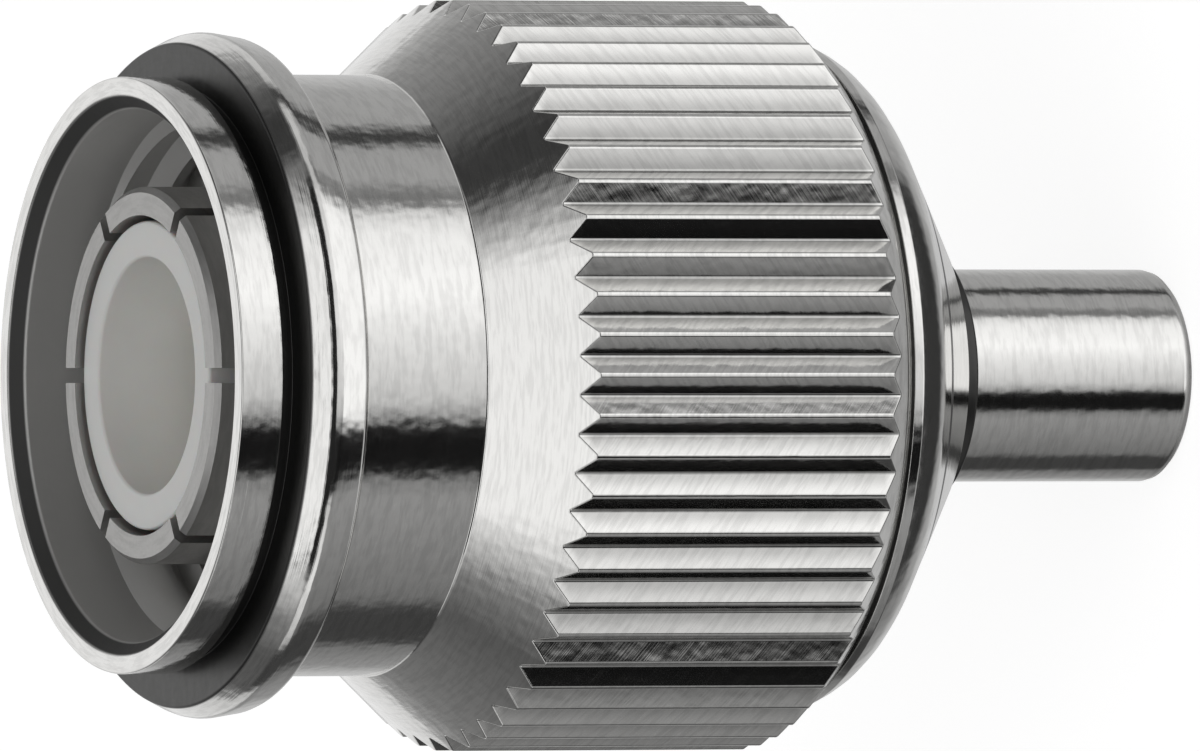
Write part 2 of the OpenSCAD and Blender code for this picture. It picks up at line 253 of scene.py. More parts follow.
class CoreSizes(bpy.types.PropertyGroup):
    """Sizes of the pieces inside and behind the nut"""

    sleeve_front_z: framed("Sleeve front", "Height of the sleeve's front", sleeve_high[2])
    sleeve_rear_z: framed("Sleeve rear", "Height of the sleeve's rear end", sleeve_low[2])
    sleeve_base_r: framed("Sleeve base radius", "Radius of the sleeve's base", sleeve_high[1])
    sleeve_r: size("Sleeve radius", "Outside radius of the spring fingers", 4.0)
    sleeve_wall: size("Sleeve wall", "Wall of the spring fingers", 0.6)
    finger_chamfer: size("Finger chamfer", "Chamfer on the tips of the fingers", 0.12)
    fingers: count("Fingers", "Number of spring fingers", 6, least=2)
    slot_w: size("Slot width", "Width of the slots", 0.32)
    slot_len: size("Slot length", "Length of the slots", 6.2)
    seal_top_z: framed("Seal top", "Height of the seal's upper face", seal_high[2])
    seal_seat_z: framed("Seal seat", "Height of the face under the seal", seal_low[2])
    seal_r: framed("Seal radius", "Outside radius of the seal", seal_high[0])
    seal_bore_r: size("Seal bore", "Inside radius of the seal", 4.27)
    seal_round: size("Seal rounding", "Rounding of the seal's edges", 0.18)
    socket_front_z: framed("Insulator front", "Height of the insulator's front", socket_high[2])
    socket_rear_z: framed("Insulator rear", "Height of the insulator's rear end", socket_low[2])
    insulator_seat_r: framed("Insulator seat", "Radius of the insulator's rear part", socket_high[0])
    insulator_r: size("Insulator radius", "Radius of the insulator inside the fingers", 3.28)
    socket_r: size("Socket radius", "Radius of the insulator's socket", 2.51)
    socket_depth: size("Socket depth", "Depth of the insulator's socket", 5.5)
    socket_round: size("Socket rounding", "Rounding of the insulator's front edges", 0.07)
    pin_tip_z: framed("Pin tip", "Height of the pin's tip", pin_high[2])
    pin_tail_z: framed("Pin tail", "Height of the pin's rear end", pin_low[2])
    pin_collar_r: framed("Pin collar radius", "Radius of the collar that holds the pin", pin_high[0])
    pin_r: size("Pin radius", "Radius of the mating pin", 0.675)
    pin_tail_r: size("Pin tail radius", "Radius of the pin's rear end", 1.0)
    pin_collar_len: size("Pin collar length", "Length of the pin's collar", 0.6)
    wire_hole_r: size("Wire hole radius", "Radius of the hole for the cable's wire", 0.3)
    wire_hole_len: size("Wire hole depth", "Depth of that hole", 1.8)
    stem_end_z: framed("Stem end", "Height of the crimp stem's end", body_low[2])
    flange_r: framed("Flange radius", "Radius of the body's flange", body_high[0])
    flange_len: size("Flange length", "Length of the body's flange", 3.8)
    groove_r: size("Groove radius", "Radius of the retaining ring's groove in the body", 4.57)
    groove_z: framed("Groove height", "Height of that groove's lower side", ring_low[2])
    groove_len: size("Groove width", "Width of that groove", 0.78)
    barrel_r: size("Barrel radius", "Radius of the body behind its flange", 4.3)
    chamber_floor_z: framed("Chamber floor", "Height of the floor under the rear insulator", bead_low[2])
    floor_thick: size("Floor thickness", "Thickness of that floor", 1.0)
    body_neck_r: size("Body neck radius", "Radius of the neck in the nut's rear hole", 2.8)
    stem_r: size("Stem radius", "Radius of the crimp stem", 1.15)
    stem_bore_r: size("Stem bore", "Radius of the hole for the cable's core", 0.8)
    shoulder_r: size("Shoulder radius", "Radius of the shoulder that centres the ferrule", 1.68)
    shoulder_len: size("Shoulder length", "Length of that shoulder", 0.8)
    braid_pitch: size("Braid groove pitch", "Distance between the grooves around the stem", 0.4)
    braid_depth: size("Braid groove depth", "Depth of those grooves", 0.07)
    ferrule_top_z: framed("Ferrule top", "Height of the ferrule's upper end", ferrule_high[2])
    ferrule_end_z: framed("Ferrule end", "Height of the ferrule's free end", ferrule_low[2])
    ferrule_r: framed("Ferrule radius", "Outside radius of the ferrule", ferrule_high[0])
    ferrule_bore_r: size("Ferrule bore", "Inside radius of the ferrule", 1.7)
    ferrule_round: size("Ferrule rounding", "Rounding of the ferrule's free end", 0.3)
    edge_round: size("Edge rounding", "Rounding of small turned edges", 0.04)


class Finishes(bpy.types.PropertyGroup):
    """Colours and surfaces of the plug"""

    nickel: colour("Nickel plate", "Colour of the turned nickel plate", 0.74, 0.735, 0.72)
    contact: colour("Contact plate", "Colour of the dull plate on the sleeve", 0.46, 0.455, 0.445)
    bronze: colour("Spring bronze", "Colour of the bare retaining ring", 0.66, 0.5, 0.3)
    gold: colour("Gold plate", "Colour of the plated pin", 0.85, 0.66, 0.3)
    ptfe: colour("White insulator", "Colour of the waxy insulator", 0.86, 0.86, 0.84)
    seal: colour("Seal rubber", "Colour of the rubber seal", 0.45, 0.13, 0.1)
    nickel_roughness: measure("Nickel roughness", "Roughness of the nickel plate", 0.11)
    lathe_marks: measure("Lathe marks", "Strength of the fine turning marks", 0.08)


class StageSettings(bpy.types.PropertyGroup):
    """Camera, floor and studio"""

    camera_tilt: angle("Camera height", "Angle of the view above the floor", 24.8)
    frame_width: size("Frame width", "Width of the picture at the plug", 25.6)
    aim_depth: size("Aim", "Distance of the picture's middle behind the mouth, on the axis", 11.205)
    lens: measure("Lens", "Focal length of the camera in millimetres", 950.0)
    sensor: measure("Sensor", "Width of the camera's sensor in millimetres", 36.0)
    floor_r: size("Floor radius", "Radius of the floor", 3000.0)
    floor_drop: size("Floor drop", "Distance of the floor under the plug", 0.01)
    floor_glow: measure("Floor white", "White that the floor shows the camera even in shadow", 0.8)
    floor_paint: measure("Floor paint", "Brightness of the floor's paint", 0.9)
    floor_fade: measure("Floor fade", "How much darker the camera sees that paint", 0.43)


def maths(operation, flipped=False):
    """A method that adds a Math node for a wire and another value."""

    def method(self, value):
        pair = {0: value, 1: self} if flipped else {0: self, 1: value}
        return self.sheet.add("ShaderNodeMath", {"operation": operation}, pair)

    return method


class Wire:
    """An output of a node, on which Python's operators add Math nodes."""

    def __init__(self, sheet, socket):
        self.sheet = sheet
        self.socket = socket

    def other(self, name):
        """Another output of the same node."""
        return Wire(self.sheet, self.socket.node.outputs[name])

    def __neg__(self):
        return self * -1.0

    __add__ = maths("ADD")
    __radd__ = maths("ADD", flipped=True)
    __sub__ = maths("SUBTRACT")
    __rsub__ = maths("SUBTRACT", flipped=True)
    __mul__ = maths("MULTIPLY")
    __rmul__ = maths("MULTIPLY", flipped=True)
    __pow__ = maths("POWER")
    least = maths("MINIMUM")


class NodeSheet:
    """The nodes of one material or of the world."""

    def __init__(self, tree):
        self.tree = tree
        tree.nodes.clear()

    def add(self, kind, settings, sockets, output=0):
        """A new node with its settings made first, then its sockets; gives one of its outputs."""
        node = self.tree.nodes.new(kind)
        for name, value in settings.items():
            if name == "stops":
                self.set_stops(node.color_ramp, value)
            else:
                setattr(node, name, value)
        for name, value in sockets.items():
            if isinstance(value, Wire):
                self.tree.links.new(value.socket, node.inputs[name])
            else:
                node.inputs[name].default_value = value
        if node.outputs:
            return Wire(self, node.outputs[output])
        return None

    def set_stops(self, ramp, stops):
        """Gives a colour ramp its grey stops, as pairs of place and tone."""
        elements = ramp.elements
        while len(elements) > 1:
            elements.remove(elements[-1])
        for number, (place, tone) in enumerate(stops):
            element = elements[0] if number == 0 else elements.new(place)
            element.position = place
            element.color = grey(tone)

    def split(self, vector):
        """The X, Y and Z of a vector."""
        x = self.add("ShaderNodeSeparateXYZ", {}, {"Vector": vector}, "X")
        return x, x.other("Y"), x.other("Z")

    def rise(self, value, low, high):
        """Goes softly from 0 at one value to 1 at another."""
        return self.add(
            "ShaderNodeMapRange",
            {"interpolation_type": "SMOOTHSTEP"},
            {"Value": value, "From Min": low, "From Max": high},
        )

    def band(self, value, low, high, soft):
        """1 between two values, with soft ends outside them."""
        return self.rise(value, low - soft, low) * (1.0 - self.rise(value, high, high + soft))

    def span(self, value, low, high):
        """Lays a value that goes from 0 to 1 between two others."""
        return low + value * (high - low)

    def mixed(self, factor, first, second):
        """A colour between two others."""
        return self.add(
            "ShaderNodeMix", {"data_type": "RGBA"}, {"Factor": factor, "A": first, "B": second}, "Result"
        )

    def bump(self, sockets):
        """A normal that follows a height."""
        return self.add("ShaderNodeBump", {}, sockets)

    def show(self, sockets):
        """Ends a piece's material in one shader."""
        shader = self.add("ShaderNodeBsdfPrincipled", {}, sockets)
        self.add("ShaderNodeOutputMaterial", {}, {"Surface": shader})


def grey(tone):
    """A colour without a hue."""
    return (tone, tone, tone, 1.0)


def shaded(tone, share):
    """A colour brought down to a share of its brightness."""
    return (*[channel * share for channel in tone], 1.0)


def new_material(name):
    """A new material and its sheet of nodes."""
    material = bpy.data.materials.new(name)
    material.use_nodes = True
    return material, NodeSheet(material.node_tree)


def blotches(sheet, place, scale, detail):
    """Soft patches of a given fineness, from 0 to 1."""
    sockets = {"Vector": place, "Scale": scale, "Detail": detail, "Roughness": 0.6}
    return sheet.add("ShaderNodeTexNoise", {}, sockets, "Fac")


def turning_marks(sheet, place, around, across):
    """Streaks that run around the plug's axis, as a lathe tool leaves them."""
    x, y, z = sheet.split(place)
    radius = (x * x + y * y) ** 0.5
    height = (z - radius * MARK_SLANT) * across
    stretched = sheet.add("ShaderNodeCombineXYZ", {}, {"X": x * around, "Y": y * around, "Z": height})
    return blotches(sheet, stretched, scale=1.0, detail=2.0)


def painted_shade_masks(sheet, place):
    """Where shade is painted on the nickel: in the bore, in the grooves and on the body's neck, and on the
    knurl's flanks.
    """
    nut = bpy.context.scene.plug_nut
    core = bpy.context.scene.plug_core
    level = nut_levels(nut)
    edge = SHADE_EDGE
    mouth_bore_r = nut.lead_r + nut.lead_chamfer
    root_r = nut.knurl_r - nut.knurl_depth
    x, y, z = sheet.split(place)
    radius = (x * x + y * y) ** 0.5
    outside = sheet.rise(radius, mouth_bore_r - edge, mouth_bore_r)
    # Painted shade: the bore inside the mouth is a little darker than the nickel outside
    bore = (1.0 - outside) * sheet.rise(z, core.seal_top_z, core.seal_top_z + edge)
    lead_in = (1.0 - outside) * sheet.rise(radius, nut.lead_r, nut.lead_r + edge)
    relief = outside * sheet.band(z, level.relief - edge / 2, level.tube - edge, edge)
    lip_groove = outside * sheet.band(z, level.lip_groove + edge, level.chamfer - edge, edge)
    neck = sheet.band(z, core.ferrule_top_z + edge / 5, nut.rear_z, edge / 5)
    # Painted shade: the relief groove, the lip groove, the body's neck in the nut's rear hole and the
    # lead-in are darkened nearly to black
    grooves = (relief + lip_groove + neck + lead_in) * GROOVE_SHADE_STRENGTH
    # Radius of the nut before its knurl was cut: the cone, the chamfer or the plain middle
    cone_r = nut.knurl_r - (z - level.cone) * math.tan(nut.cone_angle)
    chamfer_r = z + (nut.knurl_r - level.knurl)
    blank_r = cone_r.least(chamfer_r).least(nut.knurl_r)
    # Painted shade: the knurl's flanks darken towards their roots, where the V grooves lie in shade
    start = nut.knurl_depth * FLANK_SHADE_START
    flanks = sheet.rise(blank_r - radius, start, nut.knurl_depth * FLANK_SHADE_FULL)
    flanks = flanks * sheet.rise(radius, root_r - edge, root_r - edge / 2)
    return bore, grooves, flanks


def cut_end(sheet, place):
    """Where the ferrule's free end was cut off and tumbled matt."""
    core = bpy.context.scene.plug_core
    z = sheet.split(place)[2]
    end_z = core.ferrule_end_z
    return 1.0 - sheet.rise(z, end_z + core.ferrule_round / 2, end_z + core.ferrule_round)


def plated_metal(sheet, place, tone, roughness, marks, mottle, with_painted_shade=False):
    """Turned and plated metal: tool marks over slow waves, a grainy sheen and faint mottling."""
    streaks = turning_marks(sheet, place, around=160.0, across=21000.0)
    grain = blotches(sheet, place, scale=14000.0, detail=2.0)
    waves = blotches(sheet, place, scale=2600.0, detail=1.0)
    specks = sheet.rise(turning_marks(sheet, place, around=1500.0, across=8000.0), low=0.34, high=0.6)
    base = sheet.mixed(specks, shaded(tone, 1.0 - mottle), shaded(tone, 1.0))
    rough = sheet.span(grain, low=roughness * 0.7, high=roughness * 1.3)
    metallic = 1.0
    # Painted shade in the bore, in the grooves and on the knurl's flanks
    if with_painted_shade:
        bore, grooves, flanks = painted_shade_masks(sheet, place)
        base = sheet.mixed(bore, base, shaded(tone, BORE_SHADE))
        base = sheet.mixed(grooves + flanks * FLANK_SHADE_STRENGTH, base, shaded(tone, GROOVE_SHADE))
        rough = rough + (bore + grooves) * BORE_AND_GROOVE_ROUGHNESS + cut_end(sheet, place) * CUT_ROUGHNESS
        metallic = 1.0 - bore * BORE_DULL
    waviness = sheet.bump({"Strength": 1.0, "Distance": WAVE_DEPTH, "Height": waves})
    relief = streaks + grain * GRAIN_RELIEF
    normal = sheet.bump({"Strength": marks, "Distance": MARK_DEPTH, "Height": relief, "Normal": waviness})
    sheet.show({"Base Color": base, "Metallic": metallic, "Roughness": rough, "Normal": normal})


def waxy_plastic(sheet, place, tone):
    """White turned insulator: nearly matt, faintly see-through, with soft tool rings."""
    rings = turning_marks(sheet, place, around=90.0, across=9000.0)
    patches = blotches(sheet, place, scale=1200.0, detail=2.0)
    sheet.show(
        {
            "Base Color": sheet.mixed(patches, shaded(tone, 0.94), shaded(tone, 1.0)),
            "Roughness": sheet.span(patches, low=0.38, high=0.52),
            "Normal": sheet.bump({"Strength": 0.12, "Distance": MARK_DEPTH, "Height": rings}),
            "Subsurface Weight": 0.15,
            "Subsurface Scale": 0.4 * MM,
            "IOR": 1.38,
        }
    )


def seal_rubber(sheet, place, tone):
    """Matt rubber with a dusty, slightly pitted surface."""
    pits = blotches(sheet, place, scale=9000.0, detail=3.0)
    dust = blotches(sheet, place, scale=1500.0, detail=2.0)
    dust_cover = 0.2
    dust_tone = 0.06
    pale = [channel * (1.0 - dust_cover) + dust_tone for channel in tone]
    sheet.show(
        {
            "Base Color": sheet.mixed(dust, shaded(tone, 1.0), shaded(pale, 1.0)),
            "Roughness": sheet.span(pits, low=0.5, high=0.75),
            "Normal": sheet.bump({"Strength": 0.25, "Distance": MARK_DEPTH, "Height": pits}),
        }
    )


def finish(slot):
    """The material of one of the record's slots, made when it is first asked for."""
    name = "dressed_" + slot
    known = bpy.data.materials.get(name)
    if known:
        return known
    material, sheet = new_material(name)
    place = sheet.add("ShaderNodeTexCoord", {}, {}, "Object")
    looks = bpy.context.scene.plug_finishes
    if slot == "nickel_plate":
        marks = looks.lathe_marks
        # The nickel gets painted shade in its bore, its grooves and on its knurl's flanks
        plated_metal(sheet, place, looks.nickel, looks.nickel_roughness, marks, mottle=0.12, with_painted_shade=True)
    elif slot == "contact_plate":
        plated_metal(sheet, place, looks.contact, roughness=0.45, marks=0.1, mottle=0.1)
    elif slot == "spring_bronze":
        plated_metal(sheet, place, looks.bronze, roughness=0.3, marks=0.15, mottle=0.15)
    elif slot == "gold_plate":
        plated_metal(sheet, place, looks.gold, roughness=0.16, marks=0.08, mottle=0.06)
    elif slot == "white_ptfe":
        waxy_plastic(sheet, place, looks.ptfe)
    elif slot == "seal_rubber":
        seal_rubber(sheet, place, looks.seal)
    else:
        raise ValueError("no finish is known for the slot " + slot)
    return material


def radius_of(point):
    """Distance of a point from the plug's axis."""
    return math.hypot(point.x, point.y)


def round_off(bm, geom, amount, affect):
    """Rounds corners or edges."""
    bmesh.ops.bevel(
        bm,
        geom=geom,
        offset=amount,
        segments=ROUND_STEPS,
        profile=0.5,
        affect=affect,
        clamp_overlap=True,
        material=-1,
    )


def spin(bm, turned, steps, **more):
    """Spins everything in a mesh around the plug's axis."""
    bmesh.ops.spin(
        bm,
        geom=bm.verts[:] + bm.edges[:] + bm.faces[:],
        cent=CENTRE,
        axis=AXIS,
        angle=turned,
        steps=steps,
        **more,
    )


def draw_section(points):
    """The closed outline of a turned piece, from radius, height and rounding of each corner."""
    bm = bmesh.new()
    corners = [bm.verts.new((radius, 0.0, height)) for radius, height, _ in points]
    bm.faces.new(corners)
    for amount in sorted({rounding for _, _, rounding in points if rounding > 0}):
        chosen = [corner for corner, point in zip(corners, points) if point[2] == amount]
        round_off(bm, chosen, amount, "VERTICES")
    bmesh.ops.delete(bm, geom=bm.faces[:], context="FACES_ONLY")
    on_axis = [edge for edge in bm.edges if all(vert.co.x < WELD for vert in edge.verts)]
    bmesh.ops.delete(bm, geom=on_axis, context="EDGES")
    return bm


def turn(*points, steps=TURN_STEPS):
    """A piece turned once around the axis from its outline."""
    bm = draw_section(points)
    spin(bm, FULL_TURN, steps, use_merge=True)
    bmesh.ops.remove_doubles(bm, verts=bm.verts[:], dist=WELD)
    return bm


def corner_normals(bm):
    """A normal for each corner that follows the large faces, so that a rounding doesn't tint them."""
    bm.verts.index_update()
    bm.faces.index_update()
    bm.normal_update()
    leaning = {face: face.normal * face.calc_area() for face in bm.faces}
    normals = {}
    for vert in bm.verts:
        left = set(vert.link_faces)
        while left:
            group = [left.pop()]
            for face in group:
                for edge in vert.link_edges:
                    if edge.smooth and face in edge.link_faces:
                        joined = left.intersection(edge.link_faces)
                        group.extend(joined)
                        left -= joined
            mean = sum((leaning[face] for face in group), Vector()).normalized()
            for face in group:
                normals[face.index, vert.index] = mean
    return [normals[face.index, vert.index] for face in bm.faces for vert in face.verts]


def new_object(bm, name):
    """Makes a finished mesh an object in the scene."""
    mesh = bpy.data.meshes.new(name)
    bm.to_mesh(mesh)
    bm.free()
    made = bpy.data.objects.new(name, mesh)
    bpy.context.collection.objects.link(made)
    return made


def place_piece(bm, name, body, node, slot):
    """Makes the finished mesh an object that stands for a CAD node and rides on its body."""
    bmesh.ops.recalc_face_normals(bm, faces=bm.faces[:])
    for face in bm.faces:
        face.smooth = True
    for edge in bm.edges:
        edge.smooth = edge.calc_face_angle(0.0) < CRISP
    normals = corner_normals(bm)
    piece = new_object(bm, name)
    piece.data.normals_split_custom_set(normals)
    piece.data.materials.append(finish(slot))
    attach(piece, body)
    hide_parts(node)


def nut_levels(nut):
    """Heights along the nut, outside from its rear face to its mouth, then inside."""
    taper_r = nut.lip_r - nut.taper_fall
    steps = {
        "taper": (taper_r - nut.rear_face_r) / math.tan(nut.rear_cone_angle),
        "lip": nut.taper_len,
        "lip_groove": nut.lip_len,
        "chamfer": nut.lip_groove_len,
        "knurl": nut.knurl_chamfer,
        "cone": nut.knurl_len,
        "neck": (nut.knurl_r - nut.neck_r) / math.tan(nut.cone_angle),
        "collar": nut.neck_len,
        "peak": nut.collar_len,
        "relief": nut.collar_chamfer_len,
        "tube": nut.relief_len,
    }
    level = SimpleNamespace()
    height = nut.rear_z
    for name, step in steps.items():
        height += step
        setattr(level, name, height)
    level.lead = nut.mouth_z - nut.lead_len
    level.thread_top = level.lead - (nut.lead_r - nut.thread_minor_r)
    level.thread_end = level.thread_top - nut.thread_len
    return level


def nut_section(nut, level):
    """Outline of the nut with its knurl's corners at the full radius."""
    soft = nut.edge_round
    fine = nut.edge_round / 2
    groove_r = nut.lip_r - nut.lip_groove_depth
    relief_r = nut.mouth_r - nut.relief_depth
    relief_z = level.thread_end - nut.thread_relief
    ring_groove_z = nut.ring_low_z - nut.ring_gap
    groove_top_z = nut.ring_high_z + nut.ring_gap
    floor_z = nut.rear_z + nut.rear_wall
    minor_r = nut.thread_minor_r
    return [
        (nut.rear_hole_r, nut.rear_z, soft),
        (nut.rear_face_r, nut.rear_z, soft),
        (nut.lip_r - nut.taper_fall, level.taper, nut.shoulder_round),
        (nut.lip_r, level.lip, fine),
        (nut.lip_r, level.lip_groove, fine),
        (groove_r, level.lip_groove, fine),
        (groove_r, level.chamfer, fine),
        (nut.knurl_r - nut.knurl_chamfer, level.chamfer, fine),
        (nut.knurl_r, level.knurl, 0.0),
        (nut.knurl_r, level.cone, 0.0),
        (nut.neck_r, level.neck, soft),
        (nut.neck_r, level.collar, fine),
        (nut.collar_r - nut.collar_draft, level.collar, nut.collar_round),
        (nut.collar_r, level.peak, nut.collar_round),
        (nut.collar_r - nut.collar_chamfer, level.relief, soft),
        (relief_r, level.relief, fine),
        (relief_r, level.tube, fine),
        (nut.mouth_r, level.tube, fine),
        (nut.mouth_r, nut.mouth_z, soft),
        (nut.lead_r + nut.lead_chamfer, nut.mouth_z, fine),
        (nut.lead_r, nut.mouth_z - nut.lead_chamfer, soft),
        (nut.lead_r, level.lead, 0.0),
        (nut.lead_r, level.thread_end, 0.0),
        (nut.lead_r, relief_z, fine),
        (minor_r, relief_z, fine),
        (minor_r, groove_top_z, fine),
        (nut.ring_groove_r, groove_top_z, fine),
        (nut.ring_groove_r, ring_groove_z, fine),
        (minor_r, ring_groove_z, fine),
        (minor_r, floor_z, fine),
        (nut.rear_hole_r, floor_z, fine),
    ]


def knurled_shell(nut, level):
    """The nut without its thread: one tooth is turned, its ends are cut to a V and it is repeated."""
    bm = draw_section(nut_section(nut, level))
    thread_ends = (level.lead, level.thread_end)
    thread_line = [
        edge
        for edge in bm.edges
        if all(any(abs(vert.co.z - end) < SAME for end in thread_ends) for vert in edge.verts)
        and edge.calc_length() > nut.thread_len / 2
    ]
    bmesh.ops.delete(bm, geom=thread_line, context="EDGES")
    pitch = FULL_TURN / nut.teeth
    spin(bm, pitch, TOOTH_STEPS)
    cut_tooth(bm, nut, level)
    spin(bm, FULL_TURN - pitch, nut.teeth - 1, use_duplicate=True)
    bmesh.ops.remove_doubles(bm, verts=bm.verts[:], dist=SAME)
    bmesh.ops.recalc_face_normals(bm, faces=bm.faces[:])
    soften_teeth(bm, nut)
    return bm


def cut_tooth(bm, nut, level):
    """Moves the knurl's corners in one tooth: the middle ones stay as a flat crest, the others go down."""
    half = math.pi / nut.teeth
    # Places of the columns from the tooth's middle to its side; the first two are on the crest
    offsets = (0.0, nut.crest_share, 1.0 - nut.root_share, 1.0)
    for vert in bm.verts:
        if abs(radius_of(vert.co) - nut.knurl_r) > SAME:
            continue
        turned = math.atan2(vert.co.y, vert.co.x)
        column = round((turned - half) / half * TOOTH_STEPS / 2)
        turned = half + math.copysign(offsets[abs(column)] * half, column)
        fall = 0.0 if abs(column) < 2 else nut.knurl_depth
        radius = nut.knurl_r - fall
        if vert.co.z > (level.knurl + level.cone) / 2:
            height = level.cone + fall / math.tan(nut.cone_angle)
        else:
            height = level.knurl - fall
        vert.co = (radius * math.cos(turned), radius * math.sin(turned), height)


def soften_teeth(bm, nut):
    """Rounds the crests, the roots and the zigzag ends of the teeth."""
    root_r = nut.knurl_r - nut.knurl_depth
    bm.normal_update()
    chosen = []
    for edge in bm.edges:
        on_knurl = all(radius_of(vert.co) > root_r - SAME for vert in edge.verts)
        if on_knurl and edge.calc_face_angle(0.0) > CRISP / 2:
            chosen.append(edge)
    round_off(bm, chosen, nut.tooth_round, "EDGES")


def thread_coil(nut, level):
    """The right-hand thread: one pitch of its outline, turned and lifted, then cut to length."""
    bm = bmesh.new()
    minor_r = nut.thread_minor_r
    major_r = minor_r + nut.thread_depth
    pitch = nut.thread_pitch
    start_z = level.thread_end - pitch
    outline = [
        (minor_r, 0.0),
        (minor_r, pitch * THREAD_CREST),
        (major_r, pitch * (THREAD_CREST + THREAD_FLANK)),
        (major_r, pitch * (THREAD_CREST + THREAD_FLANK + THREAD_ROOT)),
        (minor_r, pitch),
    ]
    points = [bm.verts.new((radius, 0.0, start_z + rise)) for radius, rise in outline]
    for first, second in zip(points, points[1:]):
        bm.edges.new((first, second))
    # One turn more at each end, which the cuts take off
    turns = math.ceil(nut.thread_len / pitch) + 2
    spin(bm, FULL_TURN * turns, THREAD_STEPS * turns, dvec=(0.0, 0.0, pitch / THREAD_STEPS))
    bmesh.ops.remove_doubles(bm, verts=bm.verts[:], dist=SAME)
    for height, upper in ((level.thread_top, True), (level.thread_end, False)):
        bmesh.ops.bisect_plane(
            bm,
            geom=bm.verts[:] + bm.edges[:] + bm.faces[:],
            dist=WELD,
            plane_co=(0.0, 0.0, height),
            plane_no=AXIS,
            clear_outer=upper,
            clear_inner=not upper,
        )
    # The upper end follows the lead-in's chamfer
    for vert in bm.verts:
        if abs(vert.co.z - level.thread_top) < SAME:
            vert.co.z += radius_of(vert.co) - minor_r
    return bm


def join_thread(bm, coil, level):
    """Adds the thread to the nut and closes the two rings between them."""
    mesh = bpy.data.meshes.new("thread")
    coil.to_mesh(mesh)
    coil.free()
    bm.from_mesh(mesh)
    bpy.data.meshes.remove(mesh)
    middle = (level.thread_top + level.thread_end) / 2
    rims = [edge for edge in bm.edges if edge.is_boundary]
    upper = [edge for edge in rims if edge.verts[0].co.z > middle]
    lower = [edge for edge in rims if edge.verts[0].co.z < middle]
    bmesh.ops.bridge_loops(bm, edges=upper)
    bmesh.ops.bridge_loops(bm, edges=lower)


def nearest_slot(core, point):
    """Number of the slot nearest to a point, and the point's angle from that slot's middle."""
    step = FULL_TURN / core.fingers
    turned = math.atan2(point.y, point.x) + math.pi / 2
    number = round(turned / step)
    return number % core.fingers, turned - number * step


def slotted_sleeve(core):
    """The outer contact: a turned sleeve whose front is cut into spring fingers."""
    bore_r = core.sleeve_r - core.sleeve_wall
    front_z = core.sleeve_front_z
    slot_floor_z = front_z - core.slot_len
    bm = turn(
        (bore_r, core.sleeve_rear_z, 0.0),
        (core.sleeve_base_r, core.sleeve_rear_z, 0.0),
        (core.sleeve_base_r, core.seal_top_z, core.edge_round),
        (core.sleeve_r, core.seal_top_z, core.edge_round),
        (core.sleeve_r, slot_floor_z, 0.0),
        (core.sleeve_r, front_z - core.finger_chamfer, 0.0),
        (core.sleeve_r - core.finger_chamfer, front_z, 0.0),
        (bore_r, front_z, 0.0),
        (bore_r, slot_floor_z, 0.0),
        steps=SLEEVE_STEPS,
    )
    column = FULL_TURN / SLEEVE_STEPS
    gone = []
    for face in bm.faces:
        middle = face.calc_center_median()
        if middle.z > slot_floor_z + SAME and abs(nearest_slot(core, middle)[1]) < column:
            gone.append(face)
    bmesh.ops.delete(bm, geom=gone, context="FACES")
    # The two sides of a slot move to its width
    for vert in bm.verts:
        off = nearest_slot(core, vert.co)[1]
        if vert.co.z < slot_floor_z - SAME or abs(abs(off) - column) > column / 10:
            continue
        side = math.copysign(math.asin(core.slot_w / 2 / radius_of(vert.co)), off)
        bmesh.ops.rotate(bm, verts=[vert], cent=CENTRE, matrix=Matrix.Rotation(side - off, 3, "Z"))
    close_slots(bm, core, bore_r)
    return bm


def close_slots(bm, core, bore_r):
    """Gives each slot its side walls and its floor."""
    rims = {}
    for edge in bm.edges:
        if not edge.is_boundary:
            continue
        radii = [radius_of(vert.co) for vert in edge.verts]
        inner = max(radii) < bore_r + SAME
        outer = min(radii) > core.sleeve_r - SAME
        if inner or outer:
            middle = (edge.verts[0].co + edge.verts[1].co) / 2
            rims.setdefault(nearest_slot(core, middle)[0], []).append(edge)
    for edges in rims.values():
        bmesh.ops.bridge_loops(bm, edges=edges)
    # Small corners are still open behind the chamfers of the fingers
    bmesh.ops.holes_fill(bm, edges=[edge for edge in bm.edges if edge.is_boundary], sides=8)


def socket_insulator(core):
    """The white front insulator with its socket."""
    hole_r = core.pin_r + PRESS_GAP
    soft = core.socket_round
    fine = core.edge_round
    floor_z = core.socket_front_z - core.socket_depth
    step_z = core.sleeve_front_z - core.slot_len - core.slot_w
    return turn(
        (hole_r, core.socket_rear_z, 0.0),
        (core.insulator_seat_r, core.socket_rear_z, fine),
        (core.insulator_seat_r, step_z, fine),
        (core.insulator_r, step_z, fine),
        (core.insulator_r, core.socket_front_z, soft),
        (core.socket_r, core.socket_front_z, soft),
        (core.socket_r, floor_z, fine),
        (hole_r, floor_z, fine),
    )


def contact_pin(core):
    """The mating pin with its rounded tip, its collar and the hole for the wire."""
    fine = core.edge_round
    collar_top_z = core.socket_rear_z
    collar_z = collar_top_z - core.pin_collar_len
    hole_end_z = core.pin_tail_z + core.wire_hole_len
    return turn(
        (core.wire_hole_r, core.pin_tail_z, fine),
        (core.pin_tail_r, core.pin_tail_z, fine * 2),
        (core.pin_tail_r, collar_z, 0.0),
        (core.pin_collar_r, collar_z, fine),
        (core.pin_collar_r, collar_top_z, fine),
        (core.pin_r, collar_top_z, 0.0),
        (core.pin_r, core.pin_tip_z, core.pin_r * TIP_ROUND),
        (0.0, core.pin_tip_z, 0.0),
        (0.0, hole_end_z, 0.0),
        (core.wire_hole_r, hole_end_z, 0.0),
        steps=TURN_STEPS // 2,
    )


def seal_ring(core):
    """The soft ring at the bottom of the mating space."""
    soft = core.seal_round
    return turn(
        (core.seal_bore_r, core.seal_seat_z, soft),
        (core.seal_r, core.seal_seat_z, soft),
        (core.seal_r, core.seal_top_z, soft),
        (core.seal_bore_r, core.seal_top_z, soft),
    )


